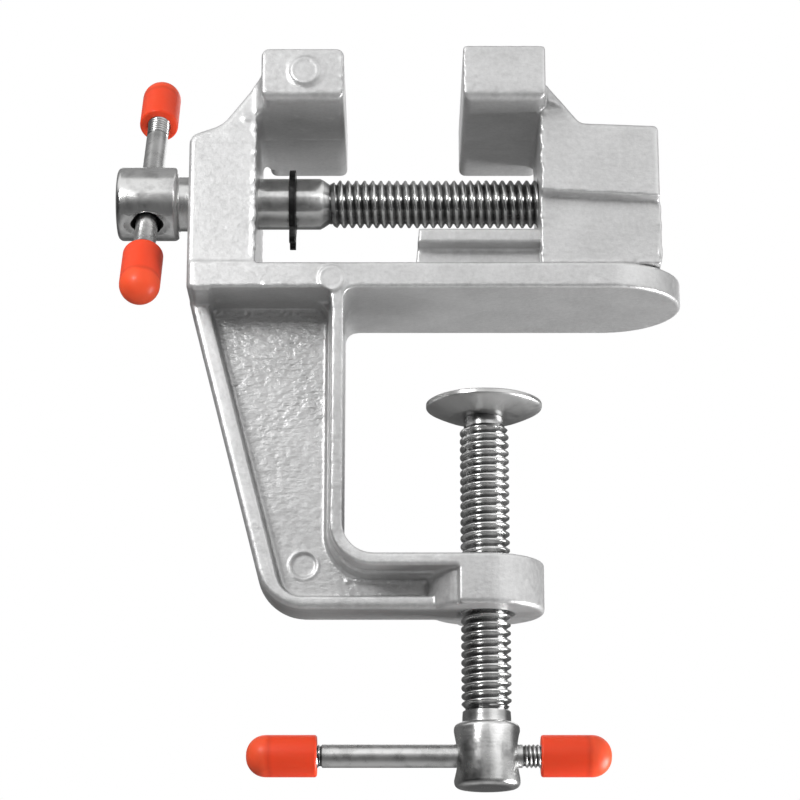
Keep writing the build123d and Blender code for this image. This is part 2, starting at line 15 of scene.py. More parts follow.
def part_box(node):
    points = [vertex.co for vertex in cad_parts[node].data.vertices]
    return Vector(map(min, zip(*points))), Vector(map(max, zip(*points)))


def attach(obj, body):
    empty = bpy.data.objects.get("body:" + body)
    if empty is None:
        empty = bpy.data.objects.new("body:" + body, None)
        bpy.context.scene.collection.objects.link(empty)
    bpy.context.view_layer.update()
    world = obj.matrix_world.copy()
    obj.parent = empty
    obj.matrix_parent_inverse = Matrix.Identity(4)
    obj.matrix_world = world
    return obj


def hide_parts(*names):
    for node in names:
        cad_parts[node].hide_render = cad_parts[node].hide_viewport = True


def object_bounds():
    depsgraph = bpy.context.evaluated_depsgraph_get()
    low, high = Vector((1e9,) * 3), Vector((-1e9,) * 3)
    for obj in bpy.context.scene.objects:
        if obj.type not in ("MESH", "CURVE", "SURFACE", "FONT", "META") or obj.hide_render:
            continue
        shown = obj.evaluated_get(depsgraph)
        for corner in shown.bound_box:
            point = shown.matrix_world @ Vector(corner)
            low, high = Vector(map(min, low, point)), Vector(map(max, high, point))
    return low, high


bl_info = {
    "name": "Clamp-on bench vise",
    "version": (1, 0, 0),
    "blender": (4, 5, 0),
    "location": "3D View > Sidebar > Bench vise",
    "description": "Dresses the CAD frame of a small clamp-on bench vise with detailed pieces and finishes",
    "category": "Object",
}

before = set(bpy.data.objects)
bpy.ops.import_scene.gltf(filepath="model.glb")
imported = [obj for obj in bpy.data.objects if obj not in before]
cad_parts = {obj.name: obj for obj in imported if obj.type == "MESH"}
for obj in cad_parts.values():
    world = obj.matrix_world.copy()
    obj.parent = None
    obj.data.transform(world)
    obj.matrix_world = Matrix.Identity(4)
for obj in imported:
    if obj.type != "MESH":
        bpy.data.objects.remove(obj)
cad_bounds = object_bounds()

MM = 0.001
WELD, SEAM_WELD = 4e-7, 2e-6
# The cross hole of a screw's head: its radii, its place along the head and the stretch painted nearly black
# as shade.
HOLE_RADIUS, HOLE_MOUTH_RADIUS = 1.58 * MM, 2.0 * MM
HOLE_ALONG = 4.15 * MM
HOLE_PAINTED_SHADE = 0.6 * MM, 7.7 * MM
LEAD_BODY, LEAD_BAR_BODY = "lead", "lead_handle"
CLAMP_BODY, CLAMP_BAR_BODY = "clamp", "clamp_handle"
LEAD_BAR_TILT = math.radians(56)
BAR_AXES = {
    "lead_bar": Vector((0, math.cos(LEAD_BAR_TILT), math.sin(LEAD_BAR_TILT))),
    "clamp_bar": Vector((1, 0, 0)),
}
# Share of the key power, size and place of each lamp, and whether metal mirrors it.
LAMPS = (
    ("key_lamp", 0.160, (0.06, 0.06), (-0.16, -0.23, 0.072), True),
    ("soft_lamp", 0.55, (0.40, 0.35), (-0.30, -0.40, 0.34), False),
    ("fill_lamp", 0.07, (0.30, 0.40), (0.40, -0.52, 0.08), True),
    ("low_lamp", 0.78, (0.16, 0.16), (0.28, 0.03, -0.19), True),
    ("top_lamp", 0.28, (0.60, 0.45), (0.0, 0.05, 0.60), False),
    ("back_lamp", 0.30, (0.60, 0.30), (0.10, 0.65, 0.35), True),
)
LAMP_AIM = Vector((-0.010, 0, -0.015))


# ---------------------------------------------------------------- settings
class CastingSettings(bpy.types.PropertyGroup):
    """Sizes and colours of the two aluminium castings."""

    colour: FloatVectorProperty(
        name="Casting colour", description="Bare cast aluminium", subtype="COLOR",
        default=(0.70, 0.70, 0.70), min=0, max=1,
    )
    shade_colour: FloatVectorProperty(
        name="Casting shade", description="Duller patches of the cast skin", subtype="COLOR",
        default=(0.56, 0.56, 0.56), min=0, max=1,
    )
    skin_size: FloatProperty(
        name="Skin size", description="Size of the facets that carry the cast skin", unit="LENGTH",
        default=0.22 * MM, min=0.1 * MM,
    )
    grain_height: FloatProperty(
        name="Grain height", description="Height of the cast grain in the pockets", unit="LENGTH",
        default=0.035 * MM, min=0,
    )
    frame_faces: IntProperty(
        name="Frame faces", description="About how many faces the frame keeps", default=180000, min=1000,
    )
    jaw_faces: IntProperty(
        name="Jaw faces", description="About how many faces the moving jaw keeps", default=190000, min=1000,
    )


class ScrewSettings(bpy.types.PropertyGroup):
    """Sizes and colour of the two screws."""

    crest: FloatProperty(
        name="Crest radius", description="Outer radius of the thread", unit="LENGTH", default=3.24 * MM
    )
    root: FloatProperty(
        name="Root radius", description="Radius at the bottom of the thread", unit="LENGTH",
        default=2.66 * MM,
    )
    pitch: FloatProperty(
        name="Pitch", description="Travel for one turn", unit="LENGTH", default=1.1 * MM, min=0.1 * MM
    )
    segments: IntProperty(
        name="Segments", description="Facets round a screw", default=64, min=16
    )
    colour: FloatVectorProperty(
        name="Steel colour", description="Bright plated steel", subtype="COLOR",
        default=(0.74, 0.74, 0.735), min=0, max=1,
    )


class BarSettings(bpy.types.PropertyGroup):
    """Sizes of the two tommy bars."""

    radius: FloatProperty(
        name="Bar radius", description="Outer radius of a bar", unit="LENGTH", default=1.5 * MM
    )
    root: FloatProperty(
        name="Thread root", description="Radius at the bottom of a bar's end thread", unit="LENGTH",
        default=1.26 * MM,
    )
    pitch: FloatProperty(
        name="Thread pitch", description="Pitch of a bar's end thread", unit="LENGTH",
        default=0.55 * MM, min=0.1 * MM,
    )


class CapSettings(bpy.types.PropertyGroup):
    """Sizes and colour of the four dipped caps."""

    colour: FloatVectorProperty(
        name="Vinyl colour", description="Orange-red vinyl over the bar", subtype="COLOR",
        default=(0.95, 0.075, 0.022), min=0, max=1,
    )
    tip_colour: FloatVectorProperty(
        name="Tip colour", description="Vinyl of the solid end", subtype="COLOR",
        default=(1.0, 0.105, 0.035), min=0, max=1,
    )
    radius: FloatProperty(
        name="Cap radius", description="Outer radius of a cap", unit="LENGTH", default=2.7 * MM
    )
    length: FloatProperty(
        name="Cap length", description="Length from mouth to tip", unit="LENGTH", default=9.1 * MM
    )


class StageSettings(bpy.types.PropertyGroup):
    """Camera, floor and lamps."""

    camera_place: FloatVectorProperty(
        name="Camera place", description="Where the camera stands", subtype="TRANSLATION",
        unit="LENGTH", default=(-0.01116, -0.34478, -0.11396),
    )
    camera_tilt: FloatProperty(
        name="Camera tilt", description="How far the camera looks up", subtype="ANGLE",
        default=math.radians(16.4),
    )
    lens: FloatProperty(
        name="Lens", description="Focal length of the camera", subtype="DISTANCE_CAMERA",
        unit="CAMERA", default=121.5,
    )
    floor_colour: FloatVectorProperty(
        name="Floor colour", description="Plain pale floor", subtype="COLOR",
        default=(0.86, 0.86, 0.86), min=0, max=1,
    )
    floor_size: FloatProperty(
        name="Floor size", description="Width of the floor", unit="LENGTH", default=6.0
    )
    key_power: FloatProperty(
        name="Lamp power", description="Power that each lamp has its share of", unit="POWER", default=2.15
    )


# ---------------------------------------------------------------- mesh helpers
def new_object(name, mesh):
    """A linked object for a mesh."""
    piece = bpy.data.objects.new(name, mesh)
    bpy.context.scene.collection.objects.link(piece)
    return piece


def settle(piece, body, slot, *nodes):
    """The piece rides on its body and stands for its CAD nodes, which are hidden; slot is not used."""
    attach(piece, body)
    if nodes:
        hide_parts(*nodes)


def axis_matrix(origin, axis, across):
    """Places local Z on an axis, with local X as near to across as it can be."""
    z = Vector(axis).normalized()
    y = z.cross(Vector(across)).normalized()
    x = y.cross(z)
    turn = Matrix((x, y, z)).transposed().to_4x4()
    return Matrix.Translation(Vector(origin)) @ turn


def bar_matrix(origin, axis):
    """Places local Z on a bar's axis."""
    return axis_matrix(origin, axis, (1, 0, 0) if abs(axis.x) < 0.9 else (0, 1, 0))


def rounded(stations, steps=5):
    """Stations (along, radius, corner) with each corner replaced by an arc of that radius."""
    out = []
    for i, (along, radius, corner) in enumerate(stations):
        here = Vector((along, radius))
        if corner <= 0 or i in (0, len(stations) - 1):
            out.append(here)
            continue
        before = (Vector(stations[i - 1][:2]) - here).normalized()
        after = (Vector(stations[i + 1][:2]) - here).normalized()
        half = before.angle(after) / 2
        reach = corner / math.tan(half)
        centre = here + (before + after).normalized() * (corner / math.sin(half))
        first, last = here + before * reach - centre, here + after * reach - centre
        sweep = math.pi - 2 * half
        sense = 1 if first.x * last.y - first.y * last.x > 0 else -1
        for k in range(steps + 1):
            angle = sense * sweep * k / steps
            c, s = math.cos(angle), math.sin(angle)
            out.append(centre + Vector((c * first.x - s * first.y, s * first.x + c * first.y)))
    return [(p.x, p.y) for p in out]


def plain_rows(stations, columns):
    """Rows of (along, radius) that stay level all the way round."""
    return [(np.full(columns + 1, a), np.full(columns + 1, r)) for a, r in stations]


def thread_rows(start, end, pitch, crest, root, columns, start_fade, end_fade):
    """Rows that climb one pitch a turn, from one level end to the other.

    The ridge stands between root and crest by the heights at their shares of the pitch.
    """
    shares = (0.0, 0.07, 0.14, 0.29, 0.42, 0.5, 0.58, 0.71, 0.86, 0.93)
    heights = (1.0, 1.0, 0.93, 0.50, 0.12, 0.0, 0.12, 0.50, 0.93, 1.0)
    turn = np.arange(columns + 1) / columns
    turns = math.ceil((end - start) / pitch) + 1
    rows = [(np.full(columns + 1, start), np.full(columns + 1, root))]
    for k in range(-1, turns):
        for share, height in zip(shares, heights):
            along = start + pitch * (k + share + turn)
            inside = np.clip(along, start, end)
            grow = np.clip((inside - start) / start_fade, 0, 1)
            fall = np.clip((end - inside) / end_fade, 0, 1)
            radius = root + (crest - root) * np.minimum(height, np.minimum(grow, fall))
            radius = np.where((along <= start) | (along >= end), root, radius)
            rows.append((inside, radius))
    rows.append((np.full(columns + 1, end), np.full(columns + 1, root)))
    return rows


def turned_mesh(name, rows, columns, smooth_angle=32):
    """A closed turned mesh round local Z from rows of (along, radius)."""
    along = np.array([row[0] for row in rows])
    radius = np.array([row[1] for row in rows])
    angle = 2 * math.pi * np.arange(columns + 1) / columns
    points = np.stack((radius * np.cos(angle), radius * np.sin(angle), along), axis=-1)
    wide = columns + 1
    faces = [
        (i * wide + j, i * wide + j + 1, (i + 1) * wide + j + 1, (i + 1) * wide + j)
        for i in range(len(rows) - 1)
        for j in range(columns)
    ]
    mesh = bpy.data.meshes.new(name)
    mesh.from_pydata(points.reshape(-1, 3).tolist(), [], faces)
    work = bmesh.new()
    work.from_mesh(mesh)
    bmesh.ops.remove_doubles(work, verts=work.verts, dist=WELD)
    bmesh.ops.dissolve_degenerate(work, edges=work.edges, dist=WELD)
    bmesh.ops.recalc_face_normals(work, faces=work.faces)
    work.to_mesh(mesh)
    work.free()
    finish_shading(mesh, smooth_angle)
    return mesh


def finish_shading(mesh, angle):
    """Smooth shading with edges sharper than an angle kept sharp."""
    mesh.shade_smooth()
    mesh.set_sharp_from_angle(angle=math.radians(angle))


def baked(piece):
    """The piece's mesh with its modifiers carried out."""
    depsgraph = bpy.context.evaluated_depsgraph_get()
    depsgraph.update()
    return bpy.data.meshes.new_from_object(piece.evaluated_get(depsgraph), depsgraph=depsgraph)


def carry_out(piece):
    """Replaces the piece's modifiers by what they make."""
    made = baked(piece)
    piece.modifiers.clear()
    piece.data = made


def cut_away(piece, cutter):
    """Cuts one mesh object out of another, and removes the cutter."""
    cut = piece.modifiers.new("cut", "BOOLEAN")
    cut.operation = "DIFFERENCE"
    cut.solver = "EXACT"
    cut.object = cutter
    carry_out(piece)
    bpy.data.objects.remove(cutter)


# ---------------------------------------------------------------- finishes
def node_adder(tree):
    """A helper that adds a node to a tree, with its settings and with values or links for its inputs."""

    def add(kind, inputs=None, **settings):
        node = tree.nodes.new(kind)
        for key, value in settings.items():
            setattr(node, key, value)
        for key, value in (inputs or {}).items():
            socket = node.inputs[key]
            if isinstance(value, bpy.types.NodeSocket):
                tree.links.new(value, socket)
            else:
                socket.default_value = value
        return node

    return add


def node_finish(name):
    """A new material with its shader, a helper to add nodes and a helper to link them."""
    material = bpy.data.materials.new(name)
    material.use_nodes = True
    tree = material.node_tree
    return material, tree.nodes["Principled BSDF"], node_adder(tree), tree.links.new


def ramp(add, value, *stops):
    """A colour ramp over a value, from stops of (place, grey or colour)."""
    node = add("ShaderNodeValToRGB", {"Fac": value})
    elements = node.color_ramp.elements
    while len(elements) < len(stops):
        elements.new(0.5)
    for element, (place, shade) in zip(elements, stops):
        colour = (shade,) * 3 if isinstance(shade, (int, float)) else tuple(shade)
        element.position = place
        element.color = (*colour, 1)
    return node.outputs["Color"]


def combined(add, operation, first, second):
    """Two numbers joined by the named operation."""
    return add("ShaderNodeMath", {0: first, 1: second}, operation=operation).outputs[0]


def spread(add, value, low, high, first=0.0, last=1.0):
    """A value carried from low..high to first..last, and held at both ends."""
    steps = {"Value": value, "From Min": low, "From Max": high, "To Min": first, "To Max": last}
    return add("ShaderNodeMapRange", steps).outputs["Result"]


def blended(add, share, first, second, blend_type="MIX"):
    """Two colours mixed, or multiplied, by a share."""
    inputs = {"Factor": share, 6: first, 7: second}
    return add("ShaderNodeMix", inputs, data_type="RGBA", blend_type=blend_type).outputs[2]


def bump(add, height, distance, strength, under=None):
    """Relief from a height, laid over the relief under it."""
    inputs = {"Height": height, "Distance": distance, "Strength": strength}
    if under:
        inputs["Normal"] = under
    return add("ShaderNodeBump", inputs).outputs["Normal"]


def clouds(add, place, scale, detail, roughness=0.5):
    """Noise from 0 to 1, scale to the metre."""
    inputs = {"Vector": place, "Scale": scale, "Detail": detail, "Roughness": roughness}
    return add("ShaderNodeTexNoise", inputs).outputs["Fac"]


def cast_finish(settings):
    """Bare die-cast aluminium: satin skin, fine grain, painted highlight and wear on edges, hammered web.
    """
    material, shader, add, link = node_finish("cast_aluminium_skin")
    place = add("ShaderNodeTexCoord").outputs["Object"]
    split = add("ShaderNodeSeparateXYZ", {"Vector": place})
    height = split.outputs["Z"]
    patches = clouds(add, place, 150, 5, 0.62)
    grain = clouds(add, place, 1700, 6, 0.7)
    flattened = add("ShaderNodeMapping", {"Vector": place, "Scale": (0.8, 1.0, 1.5)}).outputs[0]
    hammer = clouds(add, flattened, 1150, 3)
    pits = add("ShaderNodeTexVoronoi", {"Vector": place, "Scale": 620, "Randomness": 1.0})

    # The web is the thin wall near the middle plane, below the platform; its lower end is calmer.
    inward = add("ShaderNodeMath", {0: split.outputs["Y"]}, operation="ABSOLUTE").outputs[0]
    thin = spread(add, inward, 1.3 * MM, 2.2 * MM, 1.0, 0.0)
    sunk = combined(add, "MULTIPLY", thin, combined(add, "LESS_THAN", height, -0.5 * MM))
    web = combined(add, "MULTIPLY", sunk, spread(add, height, -27 * MM, -12 * MM, 0.25, 1.0))
    calm = ramp(add, clouds(add, place, 110, 2), (0.40, 0.30), (0.58, 1.0))
    web = combined(add, "MULTIPLY", web, calm)

    mixed = add("ShaderNodeMix", {"Factor": 0.5, "A": patches, "B": grain}).outputs["Result"]
    tone = ramp(add, mixed, (0.36, settings.shade_colour), (0.60, settings.colour))
    # Painted shade: the sunk web under the platform is darkened to 0.87.
    tone = blended(add, sunk, tone, (0.87, 0.87, 0.87, 1), "MULTIPLY")
    speck = ramp(add, hammer, (0.24, 0.35), (0.34, 0.97), (0.60, 1.0), (0.70, 1.25))
    tone = blended(add, web, tone, speck, "MULTIPLY")
    # Painted light on edges: convex edges brighter as wear and painted highlight, concave creases darker as
    # painted shade.
    edge = add("ShaderNodeNewGeometry").outputs["Pointiness"]
    wear_and_painted_light = ramp(add, edge, (0.38, 0.35), (0.470, 0.95), (0.53, 1.0), (0.62, 1.10))
    link(blended(add, 1.0, tone, wear_and_painted_light, "MULTIPLY"), shader.inputs["Base Color"])
    link(spread(add, grain, 0.3, 0.7, 0.31, 0.47), shader.inputs["Roughness"])
    shader.inputs["Metallic"].default_value = 0.62

    dents = ramp(add, pits.outputs["Distance"], (0.0, 0.0), (0.10, 1.0))
    relief = bump(add, grain, 0.05 * MM, 0.45)
    relief = bump(add, dents, 0.04 * MM, 0.35, relief)
    relief = bump(add, hammer, 0.20 * MM, spread(add, web, 0.0, 1.0, 0.16, 1.0), relief)
    relief = bump(add, patches, 0.12 * MM, 0.5, relief)
    link(relief, shader.inputs["Normal"])
    return material


def steel_finish(name, colour, painted_shade_colour, roughness, rings, streaks, deep, unshaded_radius, painted_hole_shade_radius=None):
    """Bright plated steel about local Z, with painted shade where it is deep.

    rings and streaks are the scales of the tool marks along and across it. Painted shade, mixed with
    random blotches, fades from the radius deep to the unshaded radius. With a painted hole shade radius,
    the cross hole inside it is painted nearly black as shade.
    """
    material, shader, add, link = node_finish(name)
    place = add("ShaderNodeTexCoord").outputs["Object"]
    split = add("ShaderNodeSeparateXYZ", {"Vector": place})
    flat = add("ShaderNodeCombineXYZ", {"X": split.outputs["X"], "Y": split.outputs["Y"]}).outputs[0]
    reach = add("ShaderNodeVectorMath", {0: flat}, operation="LENGTH").outputs["Value"]
    marks = add("ShaderNodeMapping", {"Vector": place, "Scale": (streaks, streaks, rings)}).outputs[0]
    tool = clouds(add, marks, 1, 4)
    cloud = clouds(add, place, 420, 5, 0.6)
    # Painted shade: darker from the unshaded radius in to the deep radius, mixed with random blotches.
    depth = spread(add, reach, deep, unshaded_radius)
    painted_shade_and_blotch = add("ShaderNodeMix", {"Factor": 0.42, "A": depth, "B": cloud}).outputs["Result"]
    tone = ramp(
        add, painted_shade_and_blotch, (0.18, painted_shade_colour), (0.46, tuple(0.60 * c for c in colour)),
        (0.73, tuple(0.76 * c for c in colour)), (0.80, colour),
    )
    # Painted shade: the inside of the cross hole is painted nearly black.
    if painted_hole_shade_radius:
        first, last = HOLE_PAINTED_SHADE
        height = split.outputs["Z"]
        inside = combined(add, "LESS_THAN", reach, painted_hole_shade_radius)
        after = combined(add, "GREATER_THAN", height, first)
        before = combined(add, "LESS_THAN", height, last)
        dark = combined(add, "MULTIPLY", combined(add, "MULTIPLY", inside, after), before)
        tone = blended(add, dark, tone, (0.02, 0.02, 0.02, 1))
    link(tone, shader.inputs["Base Color"])
    shader.inputs["Metallic"].default_value = 1.0
    link(spread(add, cloud, 0.3, 0.7, roughness, roughness + 0.14), shader.inputs["Roughness"])
    relief = bump(add, tool, 0.012 * MM, 0.5)
    link(bump(add, cloud, 0.05 * MM, 0.45, relief), shader.inputs["Normal"])
    return material


def vinyl_finish(settings):
    """Dipped vinyl, a little clear: deeper over the bar inside, brighter in the solid tip."""
    material, shader, add, link = node_finish("orange_red_vinyl")
    place = add("ShaderNodeTexCoord").outputs["Object"]
    split = add("ShaderNodeSeparateXYZ", {"Vector": place})
    cloud = clouds(add, place, 380, 3)
    shift = add(
        "ShaderNodeMath", {0: cloud, 1: 0.9 * MM, 2: split.outputs["Z"]}, operation="MULTIPLY_ADD"
    ).outputs[0]
    along = spread(add, shift, 0.0, settings.length)
    deep = tuple(0.86 * c for c in settings.colour)
    tone = ramp(
        add, along, (0.0, settings.colour), (0.66, settings.colour), (0.72, deep),
        (0.78, settings.tip_colour), (1.0, settings.tip_colour),
    )
    link(tone, shader.inputs["Base Color"])
    shader.inputs["Specular IOR Level"].default_value = 0.35
    shader.inputs["Subsurface Weight"].default_value = 0.35
    shader.inputs["Subsurface Radius"].default_value = (1.0, 0.25, 0.12)
    shader.inputs["Subsurface Scale"].default_value = 0.9 * MM
    fine = clouds(add, place, 1700, 4)
    link(spread(add, fine, 0.3, 0.7, 0.36, 0.48), shader.inputs["Roughness"])
    link(bump(add, fine, 0.02 * MM, 0.2), shader.inputs["Normal"])
    return material


def black_finish():
    """Black oxide on spring steel, rubbed a little bright."""
    material, shader, add, link = node_finish("black_oxide")
    place = add("ShaderNodeTexCoord").outputs["Object"]
    wear_and_painted_light = clouds(add, place, 900, 6, 0.7)
    link(ramp(add, wear_and_painted_light, (0.45, 0.012), (0.66, 0.05), (0.78, 0.20)), shader.inputs["Base Color"])
    link(ramp(add, wear_and_painted_light, (0.3, 0.55), (0.8, 0.32)), shader.inputs["Roughness"])
    shader.inputs["Metallic"].default_value = 0.7
    link(bump(add, wear_and_painted_light, 0.04 * MM, 0.4), shader.inputs["Normal"])
    return material


# ---------------------------------------------------------------- castings
def eased(edge):
    """A share held between 0 and 1 and eased at both ends."""
    t = np.clip(edge, 0, 1)
    return t * t * (3 - 2 * t)


def near_line(points, first, last):
    """Distance of points from a line between two points."""
    first, last = np.array(first) * MM, np.array(last) * MM
    run = last - first
    share = np.clip(((points - first) @ run) / (run @ run + 1e-18), 0, 1)
    return np.linalg.norm(points - first - share[:, None] * run, axis=1)


def near_ring(points, centre, radius):
    """Distance of points from a circle that lies square to Y."""
    away = points - np.array(centre) * MM
    return np.hypot(np.hypot(away[:, 0], away[:, 2]) - radius * MM, away[:, 1])


def noise_at(points, scale, seed):
    """Smooth noise from -1 to 1 at points, scale to the metre."""
    shift = Vector((seed * 3.1, seed * 7.7, seed * 1.3))
    return np.array([noise.noise(Vector(p) * scale + shift) for p in points.tolist()])


def skin_over(name, node, settings, lines, rings, grain_boxes, faces):
    """A casting's own mesh: the node's shape with soft edges, burrs, raised rings and grain.

    All in millimetres. A line is its two ends, its reach, its height and how ragged it is. A ring
    is its centre, its radius, its reach and its height. A grain box is its two corners, its share
    of the grain height and the size of the grain.
    """
    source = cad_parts[node].data.copy()
    work = bmesh.new()
    work.from_mesh(source)
    bmesh.ops.remove_doubles(work, verts=work.verts, dist=1e-6)
    work.to_mesh(source)
    work.free()
    source.materials.clear()
    piece = new_object(name, source)
    skin = piece.modifiers.new("skin", "REMESH")
    skin.mode = "VOXEL"
    skin.voxel_size = settings.skin_size
    soften = piece.modifiers.new("soften", "SMOOTH")
    soften.factor = 0.5
    soften.iterations = 2
    carry_out(piece)
    mesh = piece.data
    count = len(mesh.vertices)
    points = np.empty(count * 3, np.float32)
    mesh.vertices.foreach_get("co", points)
    normals = np.empty(count * 3, np.float32)
    mesh.vertices.foreach_get("normal", normals)
    points = points.reshape(-1, 3).astype(float)
    normals = normals.reshape(-1, 3).astype(float)
    lift = np.zeros(count)
    for first, last, reach, height, ragged in lines:
        away = near_line(points, first, last)
        close = away < reach * MM
        rough = noise_at(points[close], ragged * 1000, reach * 10)
        lift[close] += height * MM * eased(1 - away[close] / (reach * MM)) * (0.35 + rough)
    for centre, radius, reach, height in rings:
        away = near_ring(points, centre, radius)
        lift += height * MM * eased(1 - away / (reach * MM))
    for low, high, height, size in grain_boxes:
        inside = np.all((points > np.array(low) * MM) & (points < np.array(high) * MM), axis=1)
        rough = noise_at(points[inside], 1000 / size, 5) + 0.5 * noise_at(points[inside], 2200 / size, 9)
        lift[inside] += height * settings.grain_height * rough
    points += normals * lift[:, None]
    mesh.vertices.foreach_set("co", points.astype(np.float32).ravel())
    mesh.update()
    thin = piece.modifiers.new("thin", "DECIMATE")
    thin.ratio = min(1.0, faces / max(len(mesh.polygons) * 2, 1))
    carry_out(piece)
    piece.data.shade_smooth()
    return piece


# ---------------------------------------------------------------- screws, bars, caps
def round_cutter(radius, half_length, matrix):
    """A plain round cutter for a cross hole."""
    columns = 64
    stations = [(-half_length, 0), (-half_length, radius), (half_length, radius), (half_length, 0)]
    cutter = new_object("cutter", turned_mesh("cutter", plain_rows(stations, columns), columns))
    cutter.matrix_world = matrix
    return cutter


def dish_cutter(sphere_radius, depth, head_radius, matrix):
    """A ball that dishes the mouth of a cross hole."""
    columns, steps = 64, 48
    centre = head_radius - depth + sphere_radius
    angles = [math.pi * k / steps for k in range(steps + 1)]
    stations = [(centre - sphere_radius * math.cos(a), sphere_radius * math.sin(a)) for a in angles]
    cutter = new_object("cutter", turned_mesh("cutter", plain_rows(stations, columns), columns))
    cutter.matrix_world = matrix
    return cutter


def join_ends(name, head, thread_mesh, seam_along):
    """Joins a cut head and a thread at the level where they meet, with no face between them."""
    work = bmesh.new()
    work.from_mesh(head.data)
    shared = [f for f in work.faces if all(abs(v.co.z - seam_along) < 1e-6 for v in f.verts)]
    bmesh.ops.delete(work, geom=shared, context="FACES")
    work.from_mesh(thread_mesh)
    bmesh.ops.remove_doubles(work, verts=work.verts, dist=SEAM_WELD)
    bmesh.ops.recalc_face_normals(work, faces=work.faces)
    mesh = bpy.data.meshes.new(name)
    work.to_mesh(mesh)
    work.free()
    finish_shading(mesh, angle=34)
    bpy.data.objects.remove(head)
    return new_object(name, mesh)


def drilled_head(stations, columns, head_radius, hole_turn):
    """A turned head and shank with a dished cross hole."""
    ball_radius, dish_depth, mouth_depth, half_length = 6.99 * MM, 0.75 * MM, 1.7 * MM, 8 * MM
    head = new_object("head", turned_mesh("head", plain_rows(rounded(stations), columns), columns))
    side = Vector((math.cos(hole_turn), math.sin(hole_turn), 0))
    middle, along = Vector((0, 0, HOLE_ALONG)), (0, 0, 1)
    for sign in (1, -1):
        place = axis_matrix(middle, side * sign, along)
        cut_away(head, dish_cutter(ball_radius, dish_depth, head_radius, place))
        mouth = axis_matrix(middle + side * sign * head_radius, side, along)
        cut_away(head, round_cutter(HOLE_MOUTH_RADIUS, mouth_depth, mouth))
    cut_away(head, round_cutter(HOLE_RADIUS, half_length, axis_matrix(middle, side, along)))
    return head


